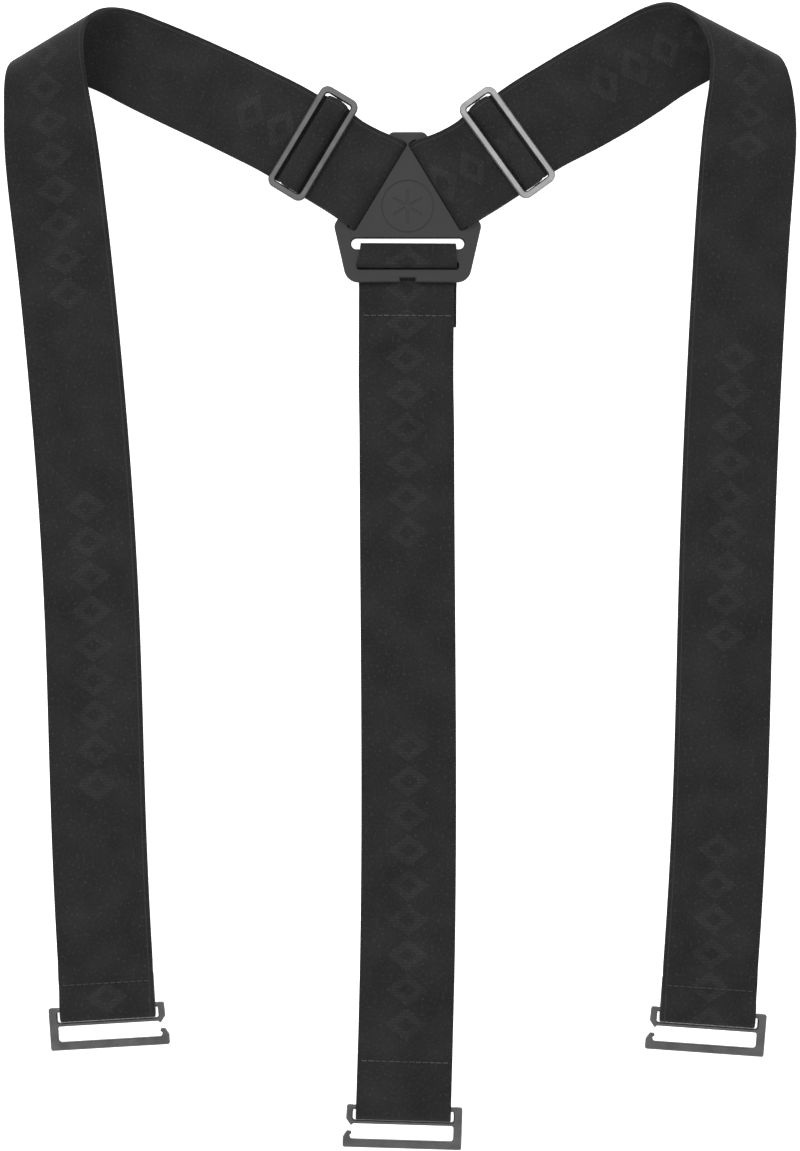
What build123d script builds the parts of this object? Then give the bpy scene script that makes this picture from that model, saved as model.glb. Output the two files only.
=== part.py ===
from build123d import *
import math
import os

# Y-back trouser braces lying flat, face up. X points to the wearer's right-hand strap as seen from
# above, Y points from the back hook to the yoke, Z points up. Millimetres and degrees.

# ---- webbing
WEB_WIDTH = 39.6
WEB_THICK = 1.6
TIGHT_THICK = 1.3          # the same webbing where it is pulled tight round a slider's centre bar
LAYER_GAP = 0.1
HALF_WEB = WEB_WIDTH / 2
HALF_THICK = WEB_THICK / 2

# ---- yoke plate, around its own centre
PLATE_BOTTOM = 3.5
PLATE_THICK = 3.0
PLATE_TOP = PLATE_BOTTOM + PLATE_THICK
PLATE_MID = PLATE_BOTTOM + PLATE_THICK / 2
PLATE_HALF_OUTLINE = [(-7.2, 31.0), (-30.7, -7.8), (-25.3, -31.4)]
PLATE_CORNER_RADII = [3.0, 3.5, 6.0]
PLATE_EDGE = 0.5
SIDE_SLOT_MID = (11.3, 8.0)       # middle of a side slot's inner edge
SIDE_SLOT_ANGLE = 31.2            # the webbing leaves the slot at this angle above X
SIDE_SLOT_WIDTH = 3.4
SIDE_SLOT_LENGTH = 41.8
RIM_WIDTH = 5.0
TOP_SLOT = (46.9, 4.5, -15.45)    # length, width, centre Y
LOW_SLOT = (41.8, 2.6, -24.6)
NOTCH = (6.2, 1.8)
PLATE_LOW_EDGE = -31.4
EMBLEM_RADIUS = 11.0
EMBLEM_DEPTH = 0.35
SPOKE_LENGTH = 14.0
SPOKE_WIDTH = 1.1

# ---- slider
SLIDER_LENGTH = 48.2
SLIDER_WIDTH = 17.6
WINDOW_LENGTH = 42.6
WINDOW_WIDTH = 12.0
SLIDER_THICK = 2.0
SLIDER_RADIUS = 3.6
CENTRE_BAR_WIDTH = 2.6
CENTRE_BAR_THICK = 1.0
SIDE_BAR_MID = (SLIDER_WIDTH + WINDOW_WIDTH) / 4

# ---- levels of the webbing's mid-surface above the table
RIM_LOOP_RADIUS = 3.8
RETURN_LEVEL = PLATE_MID - RIM_LOOP_RADIUS
RUN_LEVEL = RETURN_LEVEL + WEB_THICK + LAYER_GAP
SLIDER_BOTTOM = RUN_LEVEL + HALF_THICK + 0.15
BAR_LOOP_LEVEL = SLIDER_BOTTOM + CENTRE_BAR_THICK + LAYER_GAP + TIGHT_THICK / 2
WEAVE_LEVEL = BAR_LOOP_LEVEL + TIGHT_THICK + LAYER_GAP
RIM_MID = SIDE_SLOT_WIDTH + RIM_WIDTH / 2
BAR_LOOP_HALF = 2.4
WEAVE_HALF = 4.1

# ---- hook, opening on its -X side, Y = 0 along its top edge
HOOK_THICK = 2.0
HOOK_BAR_MID = 1.0                # depth of the webbing bar's middle below the top edge
HOOK_OUTLINE = [
    (-23.6, 0.0), (-23.8, -5.9), (-21.7, -8.8), (-20.7, -7.9), (21.0, -7.9), (21.0, -14.5),
    (-21.6, -14.5), (-22.3, -12.8), (-21.2, -12.1), (-21.6, -11.2), (-23.4, -11.1),
    (-25.0, -13.8), (-25.0, -18.0), (24.6, -18.0), (24.6, 0.0),
]
HOOK_CORNER_RADII = [0.9, 0.9, 0.5, 0.5, 0.9, 1.2, 0.6, 0.6, 0.45, 0.45, 0.7, 0.9, 0.9, 0.9, 0.9]
HOOK_SLOT = (42.0, -2.0, -6.4)    # length, upper edge, lower edge
HOOK_EDGE = 0.38
HOOK_DROOP = 5.0                  # the hook's free side sinks to the table
HOOK_INSET = 6.1                  # the hook's top edge above the end of the webbing loop
HOOK_LEVEL = 2.9
HOOK_BAR_GAP = 0.3                # clearance of the webbing all round the hook's bar
HOOK_LAYER = HOOK_THICK / 2 + HOOK_BAR_GAP + HALF_THICK
HEM_PAST_STITCH = 3.0
FLAT_AFTER_STITCH = HEM_PAST_STITCH + 9.0   # the webbing lies flat this far above its sewn row

# ---- shoulder fold
FOLD_RADIUS = 12.0
FOLD_RUN = 55.0                   # the upper leaf reaches the table this far from the crease

# ---- sewing
STITCH_COUNT = 13
STITCH_SIZE = (2.2, 0.5, 0.3)

# ---- plan of each side, from the yoke's centre
SIDES = {
    "left": {
        "sign": -1, "slider_at": 33.5, "slider_angle": 31.0, "slider_offset": 1.2,
        "crease_low": (-124.7, 67.9), "crease_top": (-151.1, 50.8), "bow": 4.2,
        "front_end": (-124.6, -337.9), "hook_angle": 3.4, "stitch_at": 15.3,
    },
    "right": {
        "sign": 1, "slider_at": 35.5, "slider_angle": 36.0, "slider_offset": 0.5,
        "crease_low": (111.1, 69.2), "crease_top": (143.6, 51.5), "bow": -0.8,
        "front_end": (124.5, -340.1), "hook_angle": -4.1, "stitch_at": 15.3,
    },
}
BACK_END = (-1.9, -379.9)
BACK_HOOK_ANGLE = -1.7
BACK_STITCH_AT = 24.5
BACK_HEM_END = 49.6               # distances down the back strap from the yoke's centre
BACK_FLAT_START = 59.0
YOKE_STITCH_AT = 45.0
REACH = 120.0                     # longer than any trimmed end
TRIM = 5.0                        # cut off the ends of strips that meet at a slight angle


def unit(x, y):
    length = math.hypot(x, y)
    return (x / length, y / length)


def plan_direction(sign, angle):
    """Out to a side and up by an angle, in plan."""
    return (sign * math.cos(math.radians(angle)), math.sin(math.radians(angle)))


def upright(origin, along):
    """The vertical plane through origin whose X runs along a direction in plan and whose Y is up."""
    return Plane(origin=(origin[0], origin[1], 0), x_dir=(along[0], along[1], 0),
                 z_dir=(along[1], -along[0], 0))


def shifted(points, distance):
    """Points of an open path moved sideways by a distance, mitred at each corner."""
    moved = []
    last = len(points) - 1
    for i, (x, y) in enumerate(points):
        before = unit(x - points[i - 1][0], y - points[i - 1][1]) if i > 0 else None
        after = unit(points[i + 1][0] - x, points[i + 1][1] - y) if i < last else None
        before = before or after
        after = after or before
        normal = unit(-before[1] - after[1], before[0] + after[0])
        stretch = 1 / (normal[0] * -before[1] + normal[1] * before[0])
        moved.append((x + normal[0] * distance * stretch, y + normal[1] * distance * stretch))
    return moved


def turn_sign(a, b, c):
    cross = (b[0] - a[0]) * (c[1] - b[1]) - (b[1] - a[1]) * (c[0] - b[0])
    return 1 if cross > 0 else -1


def layer_face(plane, points, radii, thick=WEB_THICK):
    """The cut face of a webbing layer that follows a path of mid-surface points."""
    half = thick / 2
    turns = [turn_sign(*points[i:i + 3]) for i in range(len(points) - 2)]
    edges = []
    ends = []
    for side in (half, -half):
        line = shifted(points, side)
        if radii:
            round_off = [max(r - turn * side, 0.05) for r, turn in zip(radii, turns)]
            wire = FilletPolyline(*line, radius=round_off)
        else:
            wire = Polyline(*line)
        edges.append(wire)
        ends.append((line[0], line[-1]))
    edges.append(Line(ends[0][0], ends[1][0]))
    edges.append(Line(ends[0][1], ends[1][1]))
    return plane * make_face(edges)


def layer(origin, along, points, radii=(), thick=WEB_THICK, width=WEB_WIDTH):
    """A strip of webbing: its path drawn on the upright plane, as wide as the webbing."""
    face = layer_face(upright(origin, along), points, list(radii), thick)
    return extrude(face, amount=width / 2, both=True)


def keep_side(solid, point, outward):
    """Cut a solid at an upright plane and keep the part behind it."""
    plane = Plane(origin=point, z_dir=outward)
    return split(solid, bisect_by=plane, keep=Keep.BOTTOM)


def along_from(origin, direction, distance, sideways=0.0):
    return (origin[0] + direction[0] * distance - direction[1] * sideways,
            origin[1] + direction[1] * distance + direction[0] * sideways)


def stitch_row(origin, across, level, span):
    """A row of raised stitches lying across the webbing, one solid each."""
    pitch = span / STITCH_COUNT
    row = []
    for i in range(STITCH_COUNT):
        place = along_from(origin, across, (i - (STITCH_COUNT - 1) / 2) * pitch)
        angle = math.degrees(math.atan2(across[1], across[0]))
        stitch = Pos(place[0], place[1], level + STITCH_SIZE[2] / 2) * Rot(0, 0, angle) * Box(*STITCH_SIZE)
        row.append(stitch)
    return Compound(children=[s.solid() for s in row])


def yoke_plate():
    left = PLATE_HALF_OUTLINE
    right = [(-x, y) for x, y in reversed(left)]
    outline = Polygon(*left, *right, align=None)
    radii = PLATE_CORNER_RADII + PLATE_CORNER_RADII[::-1]
    for corner, radius in zip(left + right, radii):
        vertex = outline.vertices().sort_by_distance((*corner, 0))[0]
        outline = fillet(vertex, radius)
    holes = []
    for sign in (-1, 1):
        direction = plan_direction(sign, SIDE_SLOT_ANGLE)
        centre = along_from((sign * SIDE_SLOT_MID[0], SIDE_SLOT_MID[1]), direction, SIDE_SLOT_WIDTH / 2)
        slot = RectangleRounded(SIDE_SLOT_WIDTH, SIDE_SLOT_LENGTH, 0.8)
        holes.append(Pos(*centre) * Rot(0, 0, sign * SIDE_SLOT_ANGLE) * slot)
    holes.append(Pos(0, TOP_SLOT[2]) * SlotOverall(TOP_SLOT[0], TOP_SLOT[1]))
    holes.append(Pos(0, LOW_SLOT[2]) * RectangleRounded(LOW_SLOT[0], LOW_SLOT[1], 0.8))
    holes.append(Pos(0, PLATE_LOW_EDGE) * Rectangle(NOTCH[0], 2 * NOTCH[1]))
    for hole in holes:
        outline -= hole
    plate = extrude(Pos(0, 0, PLATE_BOTTOM) * outline, amount=PLATE_THICK)
    rims = plate.faces().sort_by(Axis.Z)
    plate = chamfer(rims[-1].edges(), PLATE_EDGE)
    lower = plate.faces().sort_by(Axis.Z)[0]
    plate = chamfer(lower.edges(), PLATE_EDGE)
    return plate - emblem()


def emblem():
    """A plain engraved ring with a six-armed star inside."""
    ring = Circle(EMBLEM_RADIUS) - Circle(EMBLEM_RADIUS - 0.6)
    mark = ring
    for i in range(3):
        mark += Rot(0, 0, 60 * i + 30) * SlotOverall(SPOKE_LENGTH, SPOKE_WIDTH)
    return extrude(Pos(0, 0, PLATE_TOP - EMBLEM_DEPTH) * mark, amount=2 * EMBLEM_DEPTH)


def slider_frame():
    """Three-bar slider, long side along Y, its underside at Z = 0."""
    frame = RectangleRounded(SLIDER_WIDTH, SLIDER_LENGTH, SLIDER_RADIUS)
    frame -= RectangleRounded(WINDOW_WIDTH, WINDOW_LENGTH, 1.2)
    frame = extrude(frame, amount=SLIDER_THICK)
    frame = chamfer(frame.faces().sort_by(Axis.Z)[-1].edges(), 0.5)
    frame = chamfer(frame.faces().sort_by(Axis.Z)[0].edges(), 0.25)
    bar_place = Pos(0, 0, CENTRE_BAR_THICK / 2)
    return frame + bar_place * Box(CENTRE_BAR_WIDTH, WINDOW_LENGTH + 1.0, CENTRE_BAR_THICK)


def hook():
    """Flat hook whose round webbing bar lies on the X axis."""
    outline = Polygon(*HOOK_OUTLINE, align=None)
    for corner, radius in zip(HOOK_OUTLINE, HOOK_CORNER_RADII):
        vertex = outline.vertices().sort_by_distance((*corner, 0))[0]
        outline = fillet(vertex, radius)
    slot_height = HOOK_SLOT[1] - HOOK_SLOT[2]
    slot_mid = (HOOK_SLOT[1] + HOOK_SLOT[2]) / 2
    outline -= Pos(0, slot_mid) * RectangleRounded(HOOK_SLOT[0], slot_height, 0.9)
    body = extrude(Pos(0, HOOK_BAR_MID, -HOOK_THICK / 2) * outline, amount=HOOK_THICK)
    body = chamfer(body.faces().sort_by(Axis.Z)[-1].edges(), HOOK_EDGE)
    body = chamfer(body.faces().sort_by(Axis.Z)[0].edges(), 0.2)
    bar = Rot(0, 90, 0) * Cylinder(HOOK_THICK / 2, HOOK_SLOT[0] + 0.6)
    return body - Box(HOOK_SLOT[0], 2 * HOOK_BAR_MID + 0.6, 2 * HOOK_THICK) + bar


def placed_hook(end, direction, angle, opening):
    """A hook on its webbing loop. opening is -1 or 1: the side, in X, of the hook's mouth."""
    place = along_from(end, direction, -(HOOK_INSET - HOOK_BAR_MID))
    shape = hook()
    if opening > 0:
        shape = mirror(shape, about=Plane.YZ)
    return Pos(place[0], place[1], HOOK_LEVEL) * Rot(0, 0, angle) * Rot(HOOK_DROOP, 0, 0) * shape


def hook_loop(end, direction, stitch_at):
    """The webbing's sewn end: down over the hook bar, round it and back under to the hem."""
    turn = -(HOOK_LAYER + HALF_THICK)
    sewn = HALF_THICK + WEB_THICK + 0.15
    hem = -(stitch_at + HEM_PAST_STITCH)
    over_bar = HOOK_LEVEL + HOOK_LAYER
    under_bar = HOOK_LEVEL - HOOK_LAYER
    points = [
        (-stitch_at - FLAT_AFTER_STITCH, HALF_THICK), (hem - 8.0, HALF_THICK), (hem - 1.0, sewn),
        (-stitch_at + 2.0, sewn), (turn - 5.0, over_bar), (-HALF_THICK, over_bar),
        (-HALF_THICK, under_bar), (hem, under_bar),
    ]
    bend = HOOK_LAYER - 0.02
    return layer(end, direction, points, [4.0, 4.0, 4.0, 3.0, bend, bend])


def flat_strip(start, finish, beyond=0.0):
    """Webbing lying flat on the table between two points, and as far beyond each as asked."""
    length = math.hypot(finish[0] - start[0], finish[1] - start[1])
    direction = unit(finish[0] - start[0], finish[1] - start[1])
    return layer(start, direction, [(-beyond, HALF_THICK), (length + beyond, HALF_THICK)])


def hook_direction(angle):
    """The way in plan from the webbing to a hook that is turned by an angle."""
    return (math.sin(math.radians(angle)), -math.cos(math.radians(angle)))


def strap_end(start, above, end, angle, stitch_at, opening):
    """The hook, its sewn loop and row, and the flat webbing down to the loop.

    The webbing starts square to the direction of the strap above it and ends square to the loop.
    """
    direction = hook_direction(angle)
    flat_end = along_from(end, direction, -(stitch_at + FLAT_AFTER_STITCH))
    flat = flat_strip(start, flat_end, TRIM)
    flat = keep_side(flat, Vector(*start, 0), Vector(-above[0], -above[1], 0))
    flat = keep_side(flat, Vector(*flat_end, 0), Vector(*direction, 0))
    sewn_top = 2 * WEB_THICK + 0.15
    stitch_line = along_from(end, direction, -stitch_at)
    pieces = {
        "hook_loop": hook_loop(end, direction, stitch_at),
        "hook_stitching": stitch_row(stitch_line, (-direction[1], direction[0]), sewn_top, WEB_WIDTH - 3.0),
        "hook": placed_hook(end, direction, angle, opening),
    }
    return pieces, flat


def shoulder_fold(low, top, crease, outward, front_direction):
    """The turned-over roll at the shoulder and the leaf that slopes down from it."""
    mid = FOLD_RADIUS + HALF_THICK
    plane = upright(top, outward)
    arcs = [CenterArc((0, mid), FOLD_RADIUS + side, -90, 180) for side in (HALF_THICK, -HALF_THICK)]
    lids = [Line(arcs[0] @ k, arcs[1] @ k) for k in (0, 1)]
    roll = extrude(plane * make_face(arcs + lids), amount=REACH, both=True)
    upper_half = HALF_WEB / abs(front_direction[0] * outward[0] + front_direction[1] * outward[1])
    for end in (-1, 1):
        upper = Vector(*along_from(top, crease, end * upper_half), 2 * mid - HALF_THICK)
        lower = Vector(*along_from(low, crease, end * upper_half), HALF_THICK)
        normal = Vector(*outward, 0).cross(upper - lower).normalized()
        if normal.dot(Vector(crease[0] * end, crease[1] * end, 0)) < 0:
            normal = normal * -1
        roll = keep_side(roll, upper, normal)
    lift = 2 * FOLD_RADIUS
    corners = [(0, lift), (0, lift + WEB_THICK), (-FOLD_RUN, WEB_THICK), (-FOLD_RUN, 0)]
    leaf = extrude(plane * make_face(Polyline(*corners, close=True)), amount=REACH, both=True)
    angle = math.degrees(math.atan2(front_direction[1], front_direction[0]))
    strip = Pos(top[0], top[1], 0) * Rot(0, 0, angle) * Box(4 * REACH, WEB_WIDTH, REACH)
    return roll + (leaf & strip)


def strap_middle(plan):
    """Where the halves of a front strap meet, off the straight line between its ends by the bow."""
    top, end = plan["crease_top"], plan["front_end"]
    length = math.hypot(end[0] - top[0], end[1] - top[1])
    direction = unit(end[0] - top[0], end[1] - top[1])
    return along_from(top, direction, length / 2, plan["bow"])


def side_nodes(name, plan):
    """Every piece of one shoulder-and-front strap."""
    sign = plan["sign"]
    first = plan_direction(sign, SIDE_SLOT_ANGLE)
    slot = (sign * SIDE_SLOT_MID[0], SIDE_SLOT_MID[1])
    centre = along_from(slot, first, plan["slider_at"])
    low = plan["crease_low"]
    top = plan["crease_top"]
    second = unit(low[0] - centre[0], low[1] - centre[1])
    crease = unit(low[0] - top[0], low[1] - top[1])
    outward = (crease[1] * sign, -crease[0] * sign)
    end = plan["front_end"]
    middle = strap_middle(plan)
    front = unit(middle[0] - top[0], middle[1] - top[1])
    across = plan_direction(sign, plan["slider_angle"])
    nodes = {}

    top_of_loop = PLATE_MID + RIM_LOOP_RADIUS
    inner_cut = Vector(*along_from(centre, across, -SIDE_BAR_MID), 0)
    outer_cut = Vector(*along_from(centre, across, SIDE_BAR_MID), 0)
    across_up = Vector(*across, 0)
    near = plan["slider_at"] - SIDE_BAR_MID
    start_run = RIM_MID + 2.0
    arcs = [CenterArc((RIM_MID, PLATE_MID), RIM_LOOP_RADIUS + s, 90, 180) for s in (HALF_THICK, -HALF_THICK)]
    lids = [Line(arcs[0] @ k, arcs[1] @ k) for k in (0, 1)]
    ring = extrude(upright(slot, first) * make_face(arcs + lids), amount=HALF_WEB, both=True)
    nodes["yoke_loop"] = ring
    upper = layer(slot, first, [(RIM_MID, top_of_loop), (start_run, top_of_loop), (near - 5.0, RUN_LEVEL),
                                (near + 8.0, RUN_LEVEL)], [3.0, 8.0])
    nodes["upper_run"] = keep_side(upper, inner_cut, across_up)
    lower = layer(slot, first, [(RIM_MID, RETURN_LEVEL), (near + 8.0, RETURN_LEVEL)])
    nodes["return_run"] = keep_side(lower, inner_cut, across_up)

    slider_place = along_from(centre, across, 0, plan["slider_offset"] * sign)
    slider_turn = math.degrees(math.atan2(across[1], across[0]))
    nodes["slider"] = Pos(*slider_place, SLIDER_BOTTOM) * Rot(0, 0, slider_turn) * slider_frame()
    weave = [
        (-SIDE_BAR_MID, RUN_LEVEL), (-WEAVE_HALF - 0.3, RUN_LEVEL), (-WEAVE_HALF + 0.4, WEAVE_LEVEL),
        (WEAVE_HALF - 0.4, WEAVE_LEVEL), (WEAVE_HALF + 0.3, RUN_LEVEL), (SIDE_BAR_MID, RUN_LEVEL),
    ]
    nodes["slider_weave"] = layer(centre, across, weave, [0.9, 1.6, 1.6, 0.9], TIGHT_THICK)
    bar_loop = [
        (-SIDE_BAR_MID, RETURN_LEVEL), (BAR_LOOP_HALF, RETURN_LEVEL), (BAR_LOOP_HALF, BAR_LOOP_LEVEL),
        (-BAR_LOOP_HALF, BAR_LOOP_LEVEL), (-BAR_LOOP_HALF, RETURN_LEVEL + HALF_THICK + LAYER_GAP),
    ]
    nodes["slider_bar_loop"] = layer(centre, across, bar_loop, [0.9, 0.9, 0.9], TIGHT_THICK)
    stitch_line = along_from(centre, across, -SIDE_BAR_MID + 1.5)
    lengthwise = (-across[1], across[0])
    under = RETURN_LEVEL - TIGHT_THICK / 2 - STITCH_SIZE[2]
    nodes["slider_stitching"] = stitch_row(stitch_line, lengthwise, under, WEB_WIDTH - 4.0)

    reach = math.hypot(low[0] - centre[0], low[1] - centre[1])
    descent = [
        (0, RUN_LEVEL), (SIDE_BAR_MID + 6.0, RUN_LEVEL), (SIDE_BAR_MID + 32.0, HALF_THICK),
        (reach + REACH, HALF_THICK),
    ]
    outer = layer(centre, second, descent, [20.0, 20.0])
    outer = keep_side(outer, outer_cut, across_up * -1)
    nodes["shoulder_webbing"] = keep_side(outer, Vector(*low, 0), Vector(*outward, 0))
    nodes["shoulder_fold"] = shoulder_fold(low, top, crease, outward, front)

    upper_front = flat_strip(along_from(top, front, -REACH / 2), middle)
    landing = Vector(*along_from(top, outward, -FOLD_RUN), 0)
    nodes["front_webbing_upper"] = keep_side(upper_front, landing, Vector(*outward, 0))
    hook_pieces, lower_front = strap_end(middle, front, end, plan["hook_angle"], plan["stitch_at"], -sign)
    nodes["front_webbing_lower"] = lower_front
    nodes.update(hook_pieces)
    return {f"{name}_{key}": shape for key, shape in nodes.items()}


def back_nodes():
    """The back strap: sewn round the yoke's middle bar at the top and the back hook at the bottom."""
    origin = (0.0, 0.0)
    down = unit(*BACK_END)
    lateral = (-down[1], down[0])
    over_bar = PLATE_TOP + 0.15 + HALF_THICK
    under_rim = PLATE_BOTTOM - 0.15 - HALF_THICK
    low = 0.05 + HALF_THICK
    in_top_slot = -TOP_SLOT[2] + 0.3
    points = [
        (BACK_FLAT_START, HALF_THICK), (BACK_FLAT_START - 1.0, HALF_THICK), (BACK_HEM_END, under_rim),
        (-LOW_SLOT[2], under_rim), (-LOW_SLOT[2], over_bar), (in_top_slot, over_bar), (in_top_slot, low),
        (BACK_HEM_END, low),
    ]
    nodes = {"yoke_plate": yoke_plate()}
    nodes["back_yoke_loop"] = layer(origin, down, points, [5.0, 5.0, 1.0, 1.5, 2.0, 1.5])
    nodes["back_yoke_stitching"] = stitch_row(along_from(origin, down, YOKE_STITCH_AT), lateral,
                                              under_rim + HALF_THICK, WEB_WIDTH - 3.0)
    start = along_from(origin, down, BACK_FLAT_START)
    hook_pieces, flat = strap_end(start, down, BACK_END, BACK_HOOK_ANGLE, BACK_STITCH_AT, -1)
    nodes["back_webbing"] = flat
    nodes.update({f"back_{key}": piece for key, piece in hook_pieces.items()})
    return nodes


def main():
    """Build every node, with the origin moved to the middle of the whole, on the table."""
    nodes = back_nodes()
    for name, plan in SIDES.items():
        nodes.update(side_nodes(name, plan))
    boxes = [shape.bounding_box() for shape in nodes.values()]
    low = [min(axis) for axis in zip(*[(b.min.X, b.min.Y, b.min.Z) for b in boxes])]
    high = [max(axis) for axis in zip(*[(b.max.X, b.max.Y, b.max.Z) for b in boxes])]
    shift = (-(low[0] + high[0]) / 2, -(low[1] + high[1]) / 2, -low[2])
    print("yoke centre at", [round(v, 4) for v in shift])
    print("size", [round(b - a, 2) for a, b in zip(low, high)])
    return {name: Pos(*shift) * shape for name, shape in nodes.items()}, shift


if __name__ == "__main__":
    os.makedirs("parts", exist_ok=True)
    for node_name, node_shape in main()[0].items():
        export_step(node_shape, f"parts/{node_name}.step")
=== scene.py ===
"""Y-back trouser braces lying face up on a pale floor: webbing, stitching, lights and camera.

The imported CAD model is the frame. Plans are in millimetres from the yoke's centre, X to the right,
Y from the back hook towards the yoke, Z up from the floor. Each shoulder strap is worked out as a
left-hand one and mirrored for the right-hand side.
"""
import math

import bmesh
import bpy
import numpy as np
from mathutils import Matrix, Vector


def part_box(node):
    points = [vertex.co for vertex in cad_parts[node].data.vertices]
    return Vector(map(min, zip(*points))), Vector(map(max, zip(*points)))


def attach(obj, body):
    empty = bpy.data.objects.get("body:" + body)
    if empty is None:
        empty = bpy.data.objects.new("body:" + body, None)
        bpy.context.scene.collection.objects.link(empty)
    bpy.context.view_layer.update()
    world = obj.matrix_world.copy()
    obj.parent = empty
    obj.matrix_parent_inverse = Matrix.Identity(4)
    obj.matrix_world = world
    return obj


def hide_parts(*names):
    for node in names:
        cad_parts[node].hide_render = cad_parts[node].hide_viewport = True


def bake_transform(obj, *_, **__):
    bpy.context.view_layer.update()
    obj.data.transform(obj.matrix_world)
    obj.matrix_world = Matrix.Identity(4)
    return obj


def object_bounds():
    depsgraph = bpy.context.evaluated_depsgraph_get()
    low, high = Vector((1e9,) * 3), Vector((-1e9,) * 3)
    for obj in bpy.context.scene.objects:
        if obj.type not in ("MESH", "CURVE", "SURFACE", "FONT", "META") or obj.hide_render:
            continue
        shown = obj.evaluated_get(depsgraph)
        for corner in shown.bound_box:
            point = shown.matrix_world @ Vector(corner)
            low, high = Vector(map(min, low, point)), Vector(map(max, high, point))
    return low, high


MM = 0.001

# ---- webbing
WEB_WIDTH = 39.6
WEB_THICK = 1.7
TIGHT_THICK = 1.3
FLOOR_LEVEL = 0.85                # middle of the webbing where it lies on the floor
EDGE_RADIUS = 0.45                # the selvage is nearly square
SINK_LEAD = 6.0                   # the strap starts to level off this long before the turn is complete
ACROSS = 22                       # divisions of a strip's face from edge to edge
EDGE_STEPS = 4                    # divisions of a strip's rounded edge
STEP = 1.6                        # length of a strip's divisions on flat stretches
BEND_STEP = 0.35                  # and round small bends

# ---- yoke plate and the levels of the webbing round it
PLATE_TOP_EDGE = 31.0
PLATE_BOTTOM = 3.5
PLATE_TOP = 6.5
PLATE_MID = 5.0
PLATE_GAP = 0.15                  # between the plate and the back webbing round its lower bar
RIM_MID = 5.9                     # middle of the rim bar, out from the slot's inner edge
RIM_LOOP = 3.8
RIM_OUT = 5.15                    # middle of the webbing in the slot, out from the middle of the rim bar
TOP_SLOT = 15.45
LOW_SLOT = 24.6

# ---- slider, along the strap from its middle
SIDE_BAR = 7.4
BAR_LOOP_HALF = 2.4
WEAVE_HALF = 4.1
RETURN_LEVEL = 1.2
RUN_LEVEL = 2.9
BAR_LOOP_LEVEL = 5.6
WEAVE_LEVEL = 7.0
SLIDER_THICK = 1.6                # the webbing away from the slider's windows
SPLAY = 0.055                     # share of its width by which the webbing spreads in a slot or window
SPLAY_REACH = 8.0
SHIFT_REACH = 40.0                # the strap has turned onto its leg this far past the slider's middle
PLAN_STEP = 0.5

# ---- sewn ends
HOOK_LEVEL = 2.9
HOOK_LAYER = 2.03                 # known fault: under HOOK_CORNER, so the path doubles back by 0.04 mm
HOOK_CORNER = 2.05
HEM_PAST_STITCH = 3.0
FLAT_AFTER_STITCH = 12.0
FRONT_STITCH = 15.3
BACK_STITCH = 24.5
BACK_HEM_END = 49.6
BACK_FLAT_START = 59.0
LAST_RUN = 60.0                   # the strap's line in plan is straight this far before the hook

# ---- joins between the pieces of a front strap
LANDED_PAST = 14.0                # the front strap starts this far past the turn
UPPER_SHARE = 0.46                # the upper piece's share of the front strap
JOIN_MARGIN = 4.0                 # the middle points given with a front piece lie this far in from its ends

# ---- the jacquard band woven into the webbing
MOTIF_HALF = 9.5
MOTIF_PITCH = 14.5
MOTIF_PERIOD = 205.0
MOTIF_LENGTH = 132.0
# where the painted edge highlight runs, across the webbing
EDGE_HIGHLIGHT_AT = -18.0
RIB_PITCH = 1.65
WEFT_PITCH = 0.9
HATCH_PITCH = 1.25

# ---- each side's strap. A turn is the stretch where the strap rises, turns over at the shoulder and sinks
# back to the floor. Its tucks say how the edges draw in or spread: which edge (outer 1, inner -1), by how
# much, how far past the turn's start, and over what length. A turn's values were fitted to the strap's
# outline by least squares, apart from the right side's last tuck: they are not dimensions chosen by hand.
SIDES = {
    "left": {
        "mirror": 1, "slot_angle": 31.2, "slider_angle": 31.0, "slider_at": 33.5, "slider_offset": 1.2,
        "slot_offset": 0.2,
        "leg_aim": (-127.8, 69.5), "front_end": (-124.6, -337.9), "hook_angle": 3.4,
        "turn": {
            "start": 81.5, "crease_angle": 31.2, "length": 61.1, "along": -42.4, "exit_heading": 6.7,
            "fall": 83.7, "rise": 0.195, "tilt": 0.194, "pulls": (0.303, 0.608, 0.593),
            "tucks": [(1, 4.3, 38.3, 26.1), (-1, 3.6, 31.2, 30.2)],
        },
        "motif_from_end": 193.6,
    },
    "right": {
        "mirror": -1, "slot_angle": 31.2, "slider_angle": 36.0, "slider_at": 35.5, "slider_offset": 0.5,
        "slot_offset": 1.0,
        "leg_aim": (-114.0, 71.0), "front_end": (-124.5, -340.1), "hook_angle": 4.1,
        "turn": {
            "start": 63.1, "crease_angle": 27.3, "length": 66.6, "along": -49.8, "exit_heading": 4.0,
            "fall": 57.4, "rise": 0.42, "tilt": 0.433, "pulls": (0.457, 0.567, 0.6),
            "tucks": [(1, 6.0, 42.8, 18.0), (-1, 3.5, 44.9, 22.1), (1, -2.8, -18.0, 26.0)],
        },
        "motif_from_end": 258.0,
    },
}
SLOT_INNER = (-11.3, 8.0)
BACK_END = (-1.9, -379.9)
BACK_HOOK_ANGLE = -1.7
BACK_MOTIF_START = 244.0

# ---- surroundings, in metres
CAMERA_HEIGHT = 1.3333
CAMERA_SHIFT = (0.0005, 0.0003)
FLOOR_HALF = 6
FLOOR_DROP = 0.0001               # the floor lies just under the object

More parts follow.
